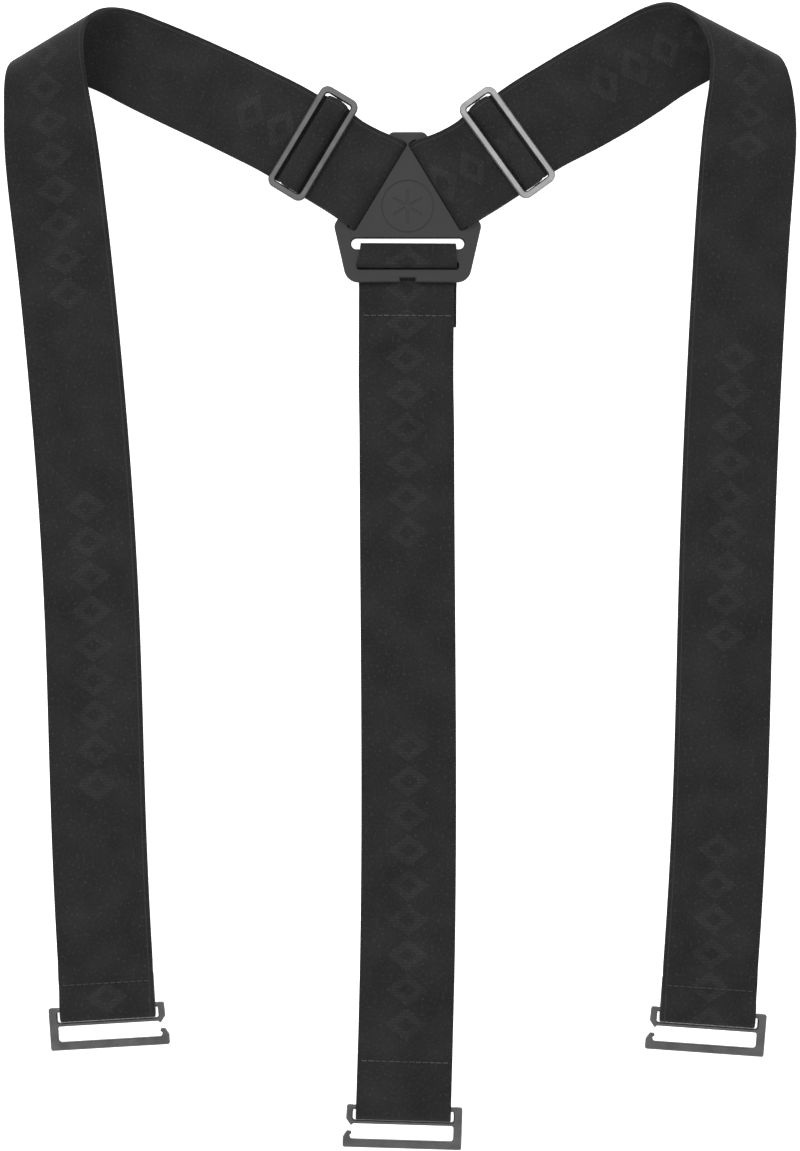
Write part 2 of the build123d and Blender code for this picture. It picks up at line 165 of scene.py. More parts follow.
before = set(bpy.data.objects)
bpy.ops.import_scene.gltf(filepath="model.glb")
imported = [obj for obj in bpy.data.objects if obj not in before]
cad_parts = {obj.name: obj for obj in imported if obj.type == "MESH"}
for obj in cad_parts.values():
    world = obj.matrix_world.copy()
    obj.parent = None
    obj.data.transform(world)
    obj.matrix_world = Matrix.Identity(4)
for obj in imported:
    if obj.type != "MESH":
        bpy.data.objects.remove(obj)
cad_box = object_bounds()
plate_low, plate_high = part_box("yoke_plate")
YOKE = ((plate_low.x + plate_high.x) / 2 / MM, plate_high.y / MM - PLATE_TOP_EDGE)


# ------------------------------------------------------------------ curves
def smooth(x):
    x = np.clip(x, 0, 1)
    return x * x * (3 - 2 * x)


def heading(angle):
    """The plan direction that leans out from straight down the page by an angle."""
    return np.array([math.sin(math.radians(angle)), -math.cos(math.radians(angle))])


def outward(angle):
    """The plan direction out to the left-hand side and up by an angle."""
    return np.array([-math.cos(math.radians(angle)), math.sin(math.radians(angle))])


def lengths(points):
    """Distance along a polyline at each of its points."""
    return np.concatenate([[0], np.cumsum(np.linalg.norm(np.diff(points, axis=0), axis=1))])


def bezier(a, b, c, d, count):
    t = np.linspace(0, 1, count)[:, None]
    return (1 - t) ** 3 * a + 3 * (1 - t) ** 2 * t * b + 3 * (1 - t) * t ** 2 * c + t ** 3 * d


def rounded(points, radii):
    """A path through corners, each rounded by its radius, as closely spaced points."""
    points = [np.array(p, float) for p in points]
    path = [points[0]]
    for before, corner, after, radius in zip(points, points[1:], points[2:], radii):
        back = (before - corner) / np.linalg.norm(before - corner)
        on = (after - corner) / np.linalg.norm(after - corner)
        half = math.acos(max(-1.0, min(1.0, float(back @ on)))) / 2
        reach = radius / math.tan(half)
        middle = corner + (back + on) / np.linalg.norm(back + on) * radius / math.sin(half)
        first = corner + back * reach - middle
        last = corner + on * reach - middle
        sweep = math.pi - 2 * half
        steps = max(3, int(sweep * radius / BEND_STEP) + 2)
        for k in range(steps + 1):
            t = k / steps
            mixed = (math.sin((1 - t) * sweep) * first + math.sin(t * sweep) * last) / math.sin(sweep)
            path.append(middle + mixed)
    path.append(points[-1])
    dense = [path[0]]
    for a, b in zip(path, path[1:]):
        pieces = max(1, int(np.linalg.norm(b - a) / STEP + 0.999))
        dense += [a + (b - a) * k / pieces for k in range(1, pieces + 1)]
    return np.array(dense)


class Line:
    """A polyline that gives its place and direction at any distance along it."""

    def __init__(self, points):
        self.points = np.array(points, float)
        self.at = lengths(self.points)
        self.length = self.at[-1]
        step = np.gradient(self.points, self.at, axis=0)
        self.steps = step / np.linalg.norm(step, axis=1)[:, None]

    def place(self, u):
        inside = np.stack([np.interp(u, self.at, self.points[:, k]) for k in (0, 1)], 1)
        before = np.minimum(u, 0)[:, None] * self.steps[0]
        after = np.maximum(u - self.length, 0)[:, None] * self.steps[-1]
        return inside + before + after

    def direction(self, u):
        d = np.stack([np.interp(u, self.at, self.steps[:, k]) for k in (0, 1)], 1)
        return d / np.linalg.norm(d, axis=1)[:, None]

    def side(self, u):
        """The direction across the line, to its left."""
        d = self.direction(u)
        return np.stack([-d[:, 1], d[:, 0]], 1)


# ------------------------------------------------------------------ strips of webbing
def section():
    """Points round a strip's cross-section, as (across, part of half the thickness)."""
    radius = EDGE_RADIUS
    flat = np.linspace(-WEB_WIDTH / 2 + radius, WEB_WIDTH / 2 - radius, ACROSS + 1)
    arc = [math.pi * k / (EDGE_STEPS * 2) for k in range(1, EDGE_STEPS * 2)]
    edge = [(radius * math.sin(a) ** 0.5, 1 - (1 - abs(math.cos(a))) * 2 * radius / WEB_THICK) for a in arc]
    edge = [(out, up if a < math.pi / 2 else -up) for (out, up), a in zip(edge, arc)]
    ring = [(v, 1.0) for v in flat]
    ring += [(WEB_WIDTH / 2 - radius + out, up) for out, up in edge]
    ring += [(v, -1.0) for v in flat[::-1]]
    ring += [(-WEB_WIDTH / 2 + radius - out, -up) for out, up in edge]
    return np.array(ring)


def strip(name, put, stations, thick=None):
    """A closed strip. put(u, v, w) gives the place, in mm, at a distance along, across and off the middle.

    Its UV map holds the distance along and across the webbing in metres.
    """
    ring = section()
    rows, around = len(stations), len(ring)
    u = np.repeat(stations, around)
    v = np.tile(ring[:, 0], rows)
    half = np.interp(u, stations, np.full(rows, WEB_THICK) if thick is None else thick) / 2
    w = np.tile(ring[:, 1], rows) * half
    places = (put(u, v, w) + np.array([YOKE[0], YOKE[1], 0])) * MM
    faces = []
    for i in range(rows - 1):
        for k in range(around):
            n = (k + 1) % around
            faces.append((i * around + k, i * around + n, (i + 1) * around + n, (i + 1) * around + k))
    last = (rows - 1) * around
    for k in range(ACROSS):
        low, high = around - 1 - (2 * EDGE_STEPS - 1) - k, k
        faces.append((high, low, low - 1, high + 1))
        faces.append((last + high, last + high + 1, last + low - 1, last + low))
    left = [around - 1 - j for j in range(2 * EDGE_STEPS - 1)]
    right = [ACROSS + 1 + j for j in range(2 * EDGE_STEPS - 1)]
    faces.append([0] + left + [around - 2 * EDGE_STEPS])
    faces.append([ACROSS] + right + [ACROSS + 2 * EDGE_STEPS])
    faces.append([last] + [last + j for j in left] + [last + around - 2 * EDGE_STEPS])
    faces.append([last + ACROSS] + [last + j for j in right] + [last + ACROSS + 2 * EDGE_STEPS])
    mesh = bpy.data.meshes.new(name)
    mesh.from_pydata(places.tolist(), [], faces)
    tidy_normals(mesh)
    layer = mesh.uv_layers.new(name="Weave")
    corner = np.zeros(len(mesh.loops), int)
    mesh.loops.foreach_get("vertex_index", corner)
    flat = np.stack([u[corner] * MM, v[corner] * MM], 1)
    layer.uv.foreach_set("vector", flat.astype(np.float32).ravel())
    mesh.shade_smooth()
    mesh.set_sharp_from_angle(angle=math.radians(50))
    piece = bpy.data.objects.new(name, mesh)
    bpy.context.scene.collection.objects.link(piece)
    piece["flat_length"] = float(stations[-1] - stations[0]) * MM
    return piece


def tidy_normals(mesh):
    work = bmesh.new()
    work.from_mesh(mesh)
    bmesh.ops.recalc_face_normals(work, faces=work.faces)
    work.to_mesh(mesh)
    work.free()


def on_plan(profile, plan, mirror=1, across=None):
    """Puts a strip that follows a profile of (distance, height) over a line in plan."""
    def put(u, v, w):
        along = profile.direction(u)
        at = profile.place(u) + np.stack([-along[:, 1], along[:, 0]], 1) * w[:, None]
        if across is not None:
            v = across(u, v)
        place = plan.place(at[:, 0]) + plan.side(at[:, 0]) * v[:, None]
        return np.stack([place[:, 0] * mirror, place[:, 1], at[:, 1]], 1)
    return put


# ------------------------------------------------------------------ the turn at the shoulder
class Turn:
    """How the strap rises from the floor, turns over a crease and comes down on itself.

    Unrolled, the strap is a flat strip: along the crease (q) and away from the yoke across it (s).
    """
    SAMPLES = 1500

    def __init__(self, plan, origin):
        angle = math.radians(plan["crease_angle"])
        self.along = np.array([math.cos(angle), math.sin(angle)])
        self.out = np.array([-math.sin(angle), math.cos(angle)])
        self.origin = origin
        self.length = plan["length"] + plan["fall"]
        self.s = np.linspace(0, self.length, self.SAMPLES)
        self.tucks = plan["tucks"]
        rise = plan["rise"] * plan["length"]
        rising = smooth(self.s / rise)
        turning = smooth((self.s - rise / 2) / (plan["length"] - rise / 2))
        sinking = smooth((self.s - plan["length"] + SINK_LEAD) / (plan["fall"] + SINK_LEAD))
        low, high = 0.0, 1.5
        for _ in range(40):
            steep = (low + high) / 2
            self.slope = plan["tilt"] * rising + (math.pi + steep - plan["tilt"]) * turning - steep * sinking
            self.reach, self.height = self.integrate()
            if self.height[-1] > 0:
                low = steep
            else:
                high = steep

    def integrate(self):
        step = self.s[1]
        middle = (self.slope[1:] + self.slope[:-1]) / 2
        reach = np.concatenate([[0], np.cumsum(np.cos(middle) * step)])
        height = np.concatenate([[0], np.cumsum(np.sin(middle) * step)])
        return reach, height

    def tucked(self, s, v):
        """Distance across the webbing, with the edges drawn in round the turn."""
        drawn = np.zeros_like(v)
        for edge, depth, at, spread in self.tucks:
            drawn += (v * edge > 0) * depth * np.exp(-((s - at) / spread) ** 2)
        return v * (1 - drawn / (WEB_WIDTH / 2))

    def unroll_below(self, place):
        """Unrolled place of a point in plan on the layer that comes from the yoke."""
        return np.stack([(place - self.origin) @ self.along, (place - self.origin) @ self.out], -1)

    def unroll_above(self, place):
        """Unrolled place of a point in plan on the front strap, beyond the turn."""
        q, h = (place - self.origin) @ self.along, (place - self.origin) @ self.out
        return np.stack([q, self.length + self.reach[-1] - h], -1)

    def put(self, q, s, w, lift):
        """Place of an unrolled point, off the middle of the webbing by w."""
        slope = np.interp(s, self.s, self.slope, left=0, right=math.pi)
        h = np.interp(s, self.s, self.reach) + np.minimum(s, 0) - np.maximum(s - self.length, 0)
        z = np.interp(s, self.s, self.height) + FLOOR_LEVEL + lift + w * np.cos(slope)
        plan = self.origin + q[:, None] * self.along + (h - w * np.sin(slope))[:, None] * self.out
        return np.concatenate([plan, z[:, None]], 1)


# ------------------------------------------------------------------ one side
def sewn_end(stitch_at):
    """Profile of a strap's sewn end: flat, up over its own hem, round the hook's bar and back."""
    flat = stitch_at + FLAT_AFTER_STITCH
    hem = stitch_at + HEM_PAST_STITCH
    sewn = FLOOR_LEVEL + WEB_THICK
    over = HOOK_LEVEL + HOOK_LAYER
    under = HOOK_LEVEL - HOOK_LAYER
    edge = -WEB_THICK / 2
    points = [
        (-flat, FLOOR_LEVEL), (-hem - 6.0, FLOOR_LEVEL), (-hem - 0.5, sewn), (-stitch_at + 3.0, sewn),
        (-7.5, over), (edge, over), (edge, under), (-8.0, under), (-stitch_at + 1.0, FLOOR_LEVEL),
        (-hem, FLOOR_LEVEL),
    ]
    return rounded(points, [4.0, 4.0, 6.0, 4.0, HOOK_CORNER, HOOK_CORNER, 6.0, 6.0])


def side_plan(plan):
    """The strap's line in plan from the yoke's slot through the slider and on to the shoulder."""
    slot = np.array(SLOT_INNER)
    first = outward(plan["slot_angle"])
    across = outward(plan["slider_angle"])
    centre = slot + first * plan["slider_at"]
    leg = np.array(plan["leg_aim"]) - centre
    leg = leg / np.linalg.norm(leg)
    at_slider = plan["slider_at"]
    swing = [(0, first), (at_slider - 20, first), (at_slider - 8, across), (at_slider + 8, across),
             (at_slider + 22, leg), (at_slider + SHIFT_REACH, leg)]
    at = np.arange(0, at_slider + SHIFT_REACH, PLAN_STEP)
    knots = [d for d, _ in swing]
    way = np.stack([np.interp(at, knots, [v[k] for _, v in swing]) for k in (0, 1)], 1)
    way = way / np.linalg.norm(way, axis=1)[:, None]
    points = slot + np.concatenate([[[0, 0]], np.cumsum(way[:-1] * PLAN_STEP, axis=0)])
    points = points + centre - Line(points).place(np.array([at_slider]))[0]
    return Line(points), centre, leg


def yoke_webbing(name, plan, line):
    """From the loop sewn round the slider's middle bar, back to the yoke, and out through the slider."""
    c = plan["slider_at"]
    top = PLATE_MID + RIM_LOOP
    in_slot = RIM_MID - RIM_OUT
    points = [
        (c - BAR_LOOP_HALF, RETURN_LEVEL + 1.2), (c - BAR_LOOP_HALF, BAR_LOOP_LEVEL),
        (c + BAR_LOOP_HALF, BAR_LOOP_LEVEL), (c + BAR_LOOP_HALF, RETURN_LEVEL),
        (in_slot, RETURN_LEVEL), (in_slot, top), (RIM_MID + 2.5, top),
        (c - SIDE_BAR - 5.0, RUN_LEVEL), (c - WEAVE_HALF - 0.3, RUN_LEVEL),
        (c - WEAVE_HALF + 0.4, WEAVE_LEVEL), (c + WEAVE_HALF - 0.4, WEAVE_LEVEL),
        (c + WEAVE_HALF + 0.3, RUN_LEVEL), (c + SIDE_BAR, RUN_LEVEL),
    ]
    radii = [0.9, 0.9, 0.9, RIM_LOOP - 0.02, RIM_LOOP - 0.02, 6.0, 8.0, 0.9, 1.7, 1.7, 0.9]
    profile = Line(rounded(points, radii))
    near = np.abs(profile.points[:, 0] - c)
    thick = TIGHT_THICK + (SLIDER_THICK - TIGHT_THICK) * smooth((near - 7.0) / 4.0)

    def splay(u, v):
        """The webbing spreads to fill the yoke's slot and the slider's windows, and moves over with them."""
        x = profile.place(u)[:, 0]
        at_slot = np.exp(-(x / SPLAY_REACH) ** 2)
        at_slider = np.exp(-((x - c) / SPLAY_REACH) ** 2)
        moved = plan["slot_offset"] * at_slot + plan["slider_offset"] * at_slider
        return v * (1 + SPLAY * (at_slot + at_slider)) - moved

    return strip(f"{name}_yoke_strap", on_plan(profile, line, plan["mirror"], splay), profile.at, thick)


def strap_line(plan, line, centre, leg, turn):
    """The strap's unrolled middle line from the slider's outer bar to the sewn end."""
    start = turn.unroll_below(line.points[line.at > plan["slider_at"] + SIDE_BAR - 0.6])
    meet = turn.unroll_below(centre + leg * plan["turn"]["start"])
    leg_way = np.array([leg @ turn.along, leg @ turn.out])
    exit_way = heading(plan["turn"]["exit_heading"])
    exit_way = np.array([exit_way @ turn.along, -exit_way @ turn.out])
    hook_way = heading(plan["hook_angle"])
    sewn_start = np.array(plan["front_end"]) - hook_way * (FRONT_STITCH + FLAT_AFTER_STITCH)
    end = turn.unroll_above(sewn_start)
    end_way = np.array([hook_way @ turn.along, -hook_way @ turn.out])
    leave = meet + np.array([plan["turn"]["along"], plan["turn"]["length"]])
    pull_in, pull_out, pull_on = plan["turn"]["pulls"]
    over = np.linalg.norm(leave - meet)
    down = np.linalg.norm(end - leave)
    over_turn = bezier(meet, meet + leg_way * over * pull_in, leave - exit_way * over * pull_out, leave, 60)
    front = bezier(leave, leave + exit_way * down * pull_on, end - end_way * down / 3, end, 240)
    points = np.concatenate([start, over_turn, front[1:]])
    at = lengths(points)
    even = np.linspace(0, at[-1], int(at[-1] / STEP) + 1)
    points = np.stack([np.interp(even, at, points[:, k]) for k in (0, 1)], 1)
    return Line(points)


def shoulder_put(turn, line, mirror):
    def put(u, v, w):
        middle = line.place(u)
        at = middle + line.side(u) * turn.tucked(middle[:, 1], v)[:, None]
        lift = (RUN_LEVEL - FLOOR_LEVEL) * (1 - smooth((u - 4.0) / 30.0))
        place = turn.put(at[:, 0], at[:, 1], w, lift)
        place[:, 0] *= mirror
        return place
    return put


def front_lower_put(turn, line, plan, profile, join):
    """Down the front on the floor, then over the sewn end's profile."""
    way = heading(plan["hook_angle"])
    end = np.array(plan["front_end"])
    plan_line = Line([end - way * LAST_RUN, end, end + way * 5.0])
    flat = shoulder_put(turn, line, plan["mirror"])
    sewn = on_plan(Line(profile.points + [LAST_RUN, 0.0]), plan_line, plan["mirror"])

    def put(u, v, w):
        return np.where((u <= join)[:, None], flat(u, v, -w), sewn(u - join, -v, w))
    return put


def centre_point(put, u):
    """A strap's middle at a distance along it, in metres in the frame."""
    place = put(np.array([u]), np.zeros(1), np.zeros(1))[0]
    return tuple((place + np.array([YOKE[0], YOKE[1], 0])) * MM)


def make_side(name, plan):
    """One side's five pieces of webbing, the strap's length to its sewn end and the slider's middle."""
    line, centre, leg = side_plan(plan)
    turn = Turn(plan["turn"], centre + leg * plan["turn"]["start"])
    pieces = {}
    pieces["yoke"] = yoke_webbing(name, plan, line)
    strap = strap_line(plan, line, centre, leg, turn)
    put = shoulder_put(turn, strap, plan["mirror"])
    s_along = strap.place(strap.at)[:, 1]
    landed = strap.at[np.searchsorted(s_along, turn.length + LANDED_PAST)]
    middle = landed + (strap.length - landed) * UPPER_SHARE
    leave_floor = float(np.interp(0.0, s_along, strap.at))
    leg_at = np.concatenate([strap.at[strap.at < leave_floor], [leave_floor]])
    bends = (s_along[1:] < turn.length * 0.8) & (strap.at[:-1] > leave_floor)
    between = (strap.at[1:] + strap.at[:-1])[bends] / 2
    turned = strap.at[(strap.at > leave_floor) & (strap.at < landed)]
    turn_at = np.unique(np.concatenate([[leave_floor], turned, between, [landed]]))
    upper = strap.at[(strap.at > landed) & (strap.at < middle)]
    upper_at = np.concatenate([[landed], upper, [middle]])
    lower_flat = np.concatenate([[middle], strap.at[strap.at > middle]])
    profile = Line(sewn_end(FRONT_STITCH))
    lower_at = np.concatenate([lower_flat, strap.length + profile.at[1:]])
    leg_thick = TIGHT_THICK + (WEB_THICK - TIGHT_THICK) * smooth((leg_at - 2.0) / 6.0)
    pieces["leg"] = strip(f"{name}_leg_strap", put, leg_at, leg_thick)
    pieces["turn"] = strip(f"{name}_turned_strap", put, turn_at)
    pieces["front_upper"] = strip(f"{name}_front_strap_upper", put, upper_at)
    lower_put = front_lower_put(turn, strap, plan, profile, strap.length)
    pieces["front_lower"] = strip(f"{name}_front_strap_lower", lower_put, lower_at)
    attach(pieces["turn"], f"{name}_strap")
    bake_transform(pieces["leg"], f"{name}_slider", f"{name}_strap",
             start=centre_point(put, 2.0), end=centre_point(put, leave_floor - 3.0))
    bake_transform(pieces["front_upper"], f"{name}_strap", f"{name}_front",
             start=centre_point(put, landed + JOIN_MARGIN), end=centre_point(put, middle - JOIN_MARGIN))
    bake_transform(pieces["front_lower"], f"{name}_front", f"{name}_strap_end",
             start=centre_point(put, middle + JOIN_MARGIN),
             end=centre_point(put, strap.length - JOIN_MARGIN))
    return pieces, strap.length, centre


def back_webbing():
    """Sewn round the yoke's lower bar at one end and round the back hook's bar at the other."""
    down = np.array(BACK_END) / np.linalg.norm(BACK_END)
    hook_way = heading(BACK_HOOK_ANGLE)
    end = np.array(BACK_END)
    flat_end = end - hook_way * (BACK_STITCH + FLAT_AFTER_STITCH)
    start = down * BACK_FLAT_START
    pull = np.linalg.norm(flat_end - start) / 3
    plan_points = bezier(start, start + down * pull, flat_end - hook_way * pull, flat_end, 200)
    plan_points = np.concatenate([[np.zeros(2)], plan_points, [end]])
    line = Line(plan_points)
    over = PLATE_TOP + PLATE_GAP + WEB_THICK / 2
    under = PLATE_BOTTOM - PLATE_GAP - WEB_THICK / 2
    inside = TOP_SLOT + 0.4
    loop = rounded([
        (BACK_HEM_END, FLOOR_LEVEL), (inside, FLOOR_LEVEL), (inside, over), (LOW_SLOT, over),
        (LOW_SLOT, under), (BACK_HEM_END - 1.0, under), (BACK_FLAT_START + 1.0, FLOOR_LEVEL),
        (line.length - LAST_RUN, FLOOR_LEVEL),
    ], [1.5, 2.0, 1.6, 1.0, 6.0, 6.0])
    tail = sewn_end(BACK_STITCH) + [line.length, 0.0]
    profile = Line(np.concatenate([loop, tail]))
    hem_length = BACK_HEM_END - inside

    def shifted(u, v):
        """The sewn-under layer lies a little to one side of the layer on top."""
        back = 1.1 * smooth((u - hem_length + 6.0) / 24.0) - 0.35 * smooth((u - hem_length - 60.0) / 30.0)
        splay = SPLAY * np.exp(-((profile.place(u)[:, 0] - LOW_SLOT) / 4.0) ** 2)
        return v * (1 + splay) + 0.75 - back

    thick = np.interp(profile.at, [0, hem_length, hem_length + 30], [1.6, 1.4, WEB_THICK])
    return strip("back_strap", on_plan(profile, line, 1, shifted), profile.at, thick), start, flat_end


# ------------------------------------------------------------------ materials
def new_material(name):
    material = bpy.data.materials.new(name)
    material.use_nodes = True
    tree = material.node_tree
    shader = next(n for n in tree.nodes if n.type == "BSDF_PRINCIPLED")
    return material, tree, shader


def node(tree, kind, **settings):
    made = tree.nodes.new(kind)
    for key, value in settings.items():
        setattr(made, key, value)
    return made


def feed(tree, socket, value):
    if isinstance(value, (int, float)):
        socket.default_value = value
    else:
        tree.links.new(value, socket)


def maths(tree, operation, a, b=0.0, c=0.0, clamp=False):
    made = node(tree, "ShaderNodeMath", operation=operation, use_clamp=clamp)
    for socket, value in zip(made.inputs, (a, b, c)):
        feed(tree, socket, value)
    return made.outputs[0]


def noise(tree, vector, scale, detail=2.0):
    made = node(tree, "ShaderNodeTexNoise")
    made.inputs["Scale"].default_value = scale
    made.inputs["Detail"].default_value = detail
    tree.links.new(vector, made.inputs["Vector"])
    return made.outputs["Fac"]


def ramp(tree, value, stops):
    made = node(tree, "ShaderNodeValToRGB")
    elements = made.color_ramp.elements
    while len(elements) < len(stops):
        elements.new(0.5)
    for element, (at, shade) in zip(elements, stops):
        element.position = at
        element.color = (*shade, 1.0)
    tree.links.new(value, made.inputs["Fac"])
    return made.outputs["Color"]


def bump(tree, shader, height, distance, strength=1.0):
    made = node(tree, "ShaderNodeBump")
    made.inputs["Strength"].default_value = strength
    made.inputs["Distance"].default_value = distance
    tree.links.new(height, made.inputs["Height"])
    tree.links.new(made.outputs["Normal"], shader.inputs["Normal"])


def webbing_material(name, motif_start, edge_highlight_strength):
    """Black woven elastic: ribs along it, rows of weft across it, and a tone-on-tone woven band.

    Its last argument sets how strongly a painted highlight shows: a thin light line along one edge that
    stands for light caught on that edge's corner.
    """
    material, tree, shader = new_material(name)
    place = node(tree, "ShaderNodeUVMap", uv_map="Weave").outputs["UV"]
    apart = node(tree, "ShaderNodeSeparateXYZ")
    tree.links.new(place, apart.inputs[0])
    u = maths(tree, "MULTIPLY", apart.outputs["X"], 1000.0)
    v = maths(tree, "MULTIPLY", apart.outputs["Y"], 1000.0)
    turn = 2 * math.pi
    ribs = maths(tree, "SINE", maths(tree, "MULTIPLY", v, turn / RIB_PITCH))
    column = maths(tree, "FLOOR", maths(tree, "MULTIPLY", v, 2 / RIB_PITCH))
    offset = maths(tree, "MULTIPLY", maths(tree, "PINGPONG", column, 1.0), 0.5)
    row = maths(tree, "ADD", maths(tree, "MULTIPLY", u, 1 / WEFT_PITCH), offset)
    weft = maths(tree, "SINE", maths(tree, "MULTIPLY", row, turn))
    woven = maths(tree, "ADD", maths(tree, "MULTIPLY", maths(tree, "ABSOLUTE", ribs), 0.55),
                  maths(tree, "MULTIPLY", weft, 0.45))
    grain = noise(tree, place, 1500.0, 3.0)
    cloudy = noise(tree, place, 55.0, 3.0)
    specks = maths(tree, "POWER", noise(tree, place, 820.0, 1.0), 9.0)
    tone = maths(tree, "ADD", maths(tree, "MULTIPLY", grain, 0.5), maths(tree, "MULTIPLY", cloudy, 0.5))
    tone = maths(tree, "ADD", tone, maths(tree, "MULTIPLY", woven, 0.05))
    tone = maths(tree, "ADD", tone, maths(tree, "MULTIPLY", specks, 6.0))
    height = maths(tree, "ADD", maths(tree, "MULTIPLY", woven, 0.5), maths(tree, "MULTIPLY", grain, 0.35))
    along = maths(tree, "MODULO", maths(tree, "ADD", u, 10 * MOTIF_PERIOD - motif_start), MOTIF_PERIOD)
    in_group = maths(tree, "LESS_THAN", along, MOTIF_LENGTH)
    part = maths(tree, "FRACT", maths(tree, "MULTIPLY", along, 1 / MOTIF_PITCH))
    cell = maths(tree, "ABSOLUTE", maths(tree, "SUBTRACT", part, 0.5))
    high = maths(tree, "MULTIPLY", maths(tree, "ABSOLUTE", v), 0.5 / MOTIF_HALF)
    lozenge = maths(tree, "ADD", cell, high)
    solid = maths(tree, "LESS_THAN", lozenge, 0.46)
    hollow = maths(tree, "GREATER_THAN", lozenge, 0.2)
    band = maths(tree, "MULTIPLY", maths(tree, "MULTIPLY", solid, hollow), in_group)
    hatch = maths(tree, "SINE", maths(tree, "MULTIPLY", u, turn / HATCH_PITCH))
    hatch = maths(tree, "MULTIPLY_ADD", hatch, 0.35, 0.65)
    worn = maths(tree, "MULTIPLY_ADD", noise(tree, place, 120.0, 2.0), 1.2, 0.1, clamp=True)
    mark = maths(tree, "MULTIPLY", maths(tree, "MULTIPLY", band, hatch), worn)
    tone = maths(tree, "ADD", tone, maths(tree, "MULTIPLY", mark, 0.30))
    # painted highlight: a thin lighter line near one edge stands for light caught on the webbing's edge
    # corner
    painted_edge_highlight = maths(tree, "COMPARE", v, EDGE_HIGHLIGHT_AT, 0.22)
    tone = maths(tree, "ADD", tone, maths(tree, "MULTIPLY", painted_edge_highlight, edge_highlight_strength))
    height = maths(tree, "ADD", height, maths(tree, "MULTIPLY", mark, 0.6))
    colour = ramp(tree, tone, [(0.3, (0.0035, 0.0035, 0.0036)), (0.95, (0.0240, 0.0240, 0.0245))])
    tree.links.new(colour, shader.inputs["Base Color"])
    rough = maths(tree, "MULTIPLY_ADD", grain, 0.2, 0.72, clamp=True)
    tree.links.new(rough, shader.inputs["Roughness"])
    shader.inputs["Specular IOR Level"].default_value = 0.18
    shader.inputs["Sheen Weight"].default_value = 0.04
    shader.inputs["Sheen Roughness"].default_value = 0.4
    bump(tree, shader, height, 0.00018, 0.6)
    return material


def object_place(tree):
    return node(tree, "ShaderNodeTexCoord").outputs["Object"]


def plastic_material():
    """Dark grey moulded plastic with a fine spark-eroded grain and faint flow marks."""
    material, tree, shader = new_material("moulded_plastic")
    place = object_place(tree)
    grain = noise(tree, place, 2600.0, 2.0)
    flow = noise(tree, place, 60.0, 3.0)
    colour = ramp(tree, flow, [(0.3, (0.014, 0.014, 0.0145)), (0.75, (0.020, 0.020, 0.0205))])
    tree.links.new(colour, shader.inputs["Base Color"])
    grainy = maths(tree, "MULTIPLY_ADD", grain, 0.1, 0.34)
    rough = maths(tree, "ADD", maths(tree, "MULTIPLY", flow, 0.16), grainy)
    tree.links.new(rough, shader.inputs["Roughness"])
    shader.inputs["Specular IOR Level"].default_value = 0.28
    bump(tree, shader, grain, 0.00003, 0.5)
    return material


def metal_material(name, shade, rough_low):
    """Plated metal, tumbled to a satin finish, with small pits and slightly worn colour."""
    material, tree, shader = new_material(name)
    place = object_place(tree)
    pits = noise(tree, place, 1400.0, 3.0)
    rubbed = noise(tree, place, 180.0, 3.0)
    low, high = shade * 0.82, shade * 1.2
    colour = ramp(tree, rubbed, [(0.3, (low, low, low * 1.02)), (0.75, (high, high, high * 1.01))])
    tree.links.new(colour, shader.inputs["Base Color"])
    pitted = maths(tree, "MULTIPLY_ADD", pits, 0.12, rough_low)
    rough = maths(tree, "ADD", maths(tree, "MULTIPLY", rubbed, 0.14), pitted)
    tree.links.new(rough, shader.inputs["Roughness"])
    shader.inputs["Metallic"].default_value = 1.0
    bump(tree, shader, pits, 0.00004, 0.5)
    return material


def thread_material(name, shade):
    """Black polyester thread, twisted, a little glossier than the webbing and as pale as its shade."""
    material, tree, shader = new_material(name)
    place = object_place(tree)
    twist = node(tree, "ShaderNodeTexWave", wave_type="BANDS", bands_direction="DIAGONAL")
    twist.inputs["Scale"].default_value = 1400.0
    twist.inputs["Distortion"].default_value = 1.0
    tree.links.new(place, twist.inputs["Vector"])
    worn = maths(tree, "MULTIPLY_ADD", noise(tree, place, 260.0, 1.0), 3.0, -1.0, clamp=True)
    lit = maths(tree, "MULTIPLY", twist.outputs["Fac"], worn)
    colour = ramp(tree, lit, [(0.2, (0.006, 0.006, 0.0062)), (0.9, (shade, shade, shade * 1.02))])
    tree.links.new(colour, shader.inputs["Base Color"])
    shader.inputs["Roughness"].default_value = 0.5
    bump(tree, shader, twist.outputs["Fac"], 0.00005, 0.6)
    return material


def floor_material():
    """White acrylic, lit a little from below."""
    material, tree, shader = new_material("floor")
    soft = noise(tree, object_place(tree), 3.0, 2.0)
    colour = ramp(tree, soft, [(0.3, (0.90, 0.90, 0.90)), (0.8, (0.93, 0.93, 0.93))])
    tree.links.new(colour, shader.inputs["Base Color"])
    shader.inputs["Roughness"].default_value = 0.8
    shader.inputs["Specular IOR Level"].default_value = 0.1
    tree.links.new(colour, shader.inputs["Emission Color"])
    shader.inputs["Emission Strength"].default_value = 1.0
    return material


def wear(piece, material):
    piece.data.materials.clear()
    piece.data.materials.append(material)


def finish_strip(piece, material, held, rests_on, *nodes):
    wear(piece, material)
    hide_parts(*nodes)


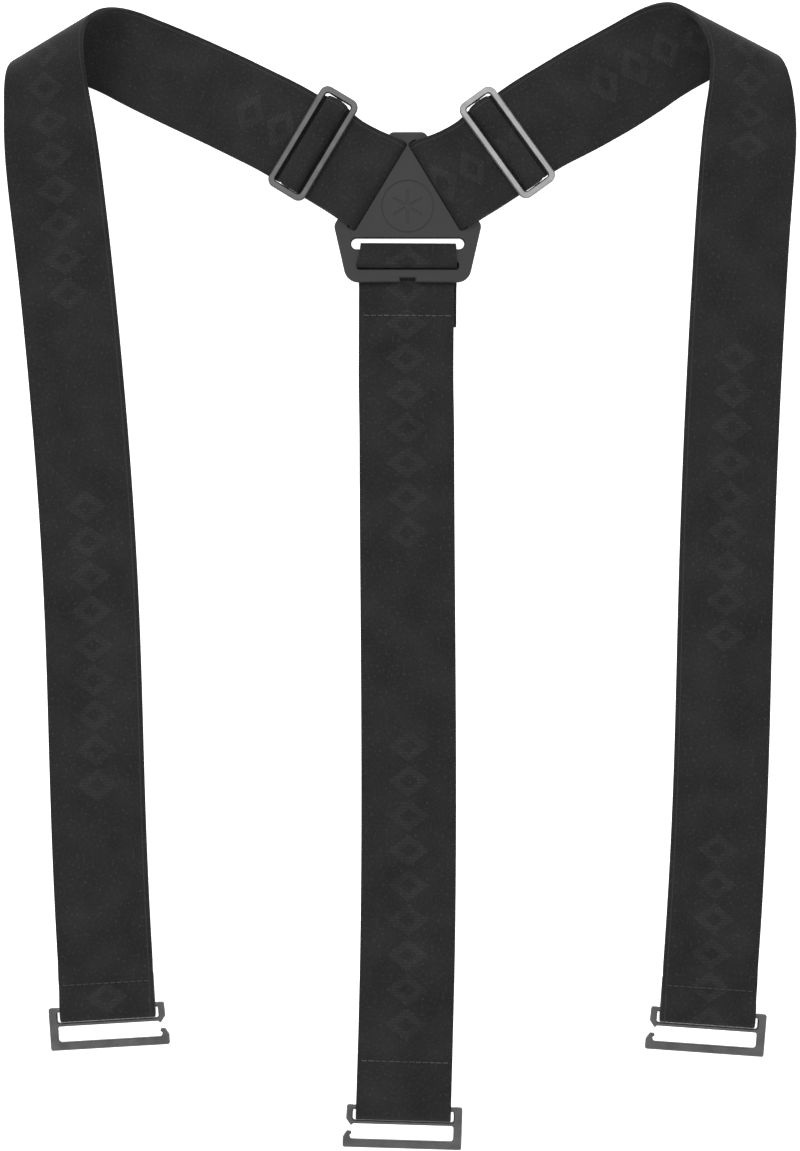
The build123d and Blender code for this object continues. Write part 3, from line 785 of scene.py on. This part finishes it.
def build():
    yoke_plastic = plastic_material()
    pale_thread = thread_material("pale_thread", 0.050)
    dark_thread = thread_material("dark_thread", 0.010)
    # Both sliders are the same metal. The right slider's lighter shade is a painted reflection that stands
    # for light it catches; the left one keeps the plain shade.
    metal = {"left_slider": metal_material("slider_plating_left", 0.092, 0.30),
             "right_slider": metal_material("slider_plating_right_painted_reflection", 0.22, 0.30)}
    hook_metal = metal_material("hook_plating", 0.10, 0.30)
    wear(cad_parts["yoke_plate"], yoke_plastic)
    for side, plan in SIDES.items():
        pieces, strap_length, centre = make_side(side, plan)
        # the last argument is the strength of the painted edge highlight
        fabric = webbing_material(f"{side}_webbing", strap_length - plan["motif_from_end"], 0.35)
        hardware = [f"{side}_slider", "yoke_plate"]
        finish_strip(pieces["yoke"], fabric, "folded", hardware, *[f"{side}_{k}" for k in (
            "yoke_loop", "upper_run", "return_run", "slider_weave", "slider_bar_loop")])
        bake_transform(pieces["yoke"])
        finish_strip(pieces["leg"], fabric, "laid", [f"{side}_slider"], f"{side}_shoulder_webbing")
        finish_strip(pieces["turn"], fabric, "folded", [pieces["leg"]], f"{side}_shoulder_fold")
        finish_strip(pieces["front_upper"], fabric, "laid", [pieces["turn"]], f"{side}_front_webbing_upper")
        finish_strip(pieces["front_lower"], fabric, "folded", [f"{side}_hook"],
                     f"{side}_front_webbing_lower", f"{side}_hook_loop")
        wear(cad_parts[f"{side}_slider"], metal[f"{side}_slider"])
        wear(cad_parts[f"{side}_hook"], hook_metal)
    piece, start, flat_end = back_webbing()
    # the back webbing's painted edge highlight is faint (last argument of webbing_material)
    finish_strip(piece, webbing_material("back_webbing", BACK_MOTIF_START, 0.05), "folded",
                 ["yoke_plate", "back_hook"], "back_webbing", "back_yoke_loop", "back_hook_loop")
    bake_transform(piece)
    wear(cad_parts["back_hook"], hook_metal)
    for name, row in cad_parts.items():
        if name.endswith("stitching"):
            wear(row, pale_thread if name.startswith("back") else dark_thread)


def make_camera():
    low, high = cad_box
    data = bpy.data.cameras.new("camera")
    data.lens = 100.0
    data.sensor_width = 36.0
    camera = bpy.data.objects.new("camera", data)
    middle = ((low.x + high.x) / 2, (low.y + high.y) / 2)
    camera.location = (middle[0] + CAMERA_SHIFT[0], middle[1] + CAMERA_SHIFT[1], CAMERA_HEIGHT)
    bpy.context.scene.collection.objects.link(camera)
    bpy.context.scene.camera = camera


def area_light(name, place, aim, size, power):
    data = bpy.data.lights.new(name, "AREA")
    data.shape = "DISK"
    data.size = size
    data.energy = power
    light = bpy.data.objects.new(name, data)
    light.location = place
    light.rotation_euler = (Vector(aim) - Vector(place)).to_track_quat("-Z", "Y").to_euler()
    bpy.context.scene.collection.objects.link(light)


def make_surroundings():
    mesh = bpy.data.meshes.new("floor")
    corners = [(-1, -1), (1, -1), (1, 1), (-1, 1)]
    places = [(x * FLOOR_HALF, y * FLOOR_HALF, -FLOOR_DROP) for x, y in corners]
    mesh.from_pydata(places, [], [(0, 1, 2, 3)])
    floor = bpy.data.objects.new("floor", mesh)
    bpy.context.scene.collection.objects.link(floor)
    wear(floor, floor_material())
    world = bpy.data.worlds.new("studio")
    world.use_nodes = True
    world.node_tree.nodes["Background"].inputs["Color"].default_value = (1.0, 1.0, 1.0, 1.0)
    world.node_tree.nodes["Background"].inputs["Strength"].default_value = 1.15
    bpy.context.scene.world = world
    area_light("key", (-0.9, 0.9, 1.6), (0, 0, 0), 0.9, 14.0)
    area_light("glint", (0.13, 0.38, 1.33), (0.04, 0.18, 0), 0.14, 1.5)
    bpy.context.scene.view_settings.view_transform = "Standard"


make_camera()
build()
make_surroundings()
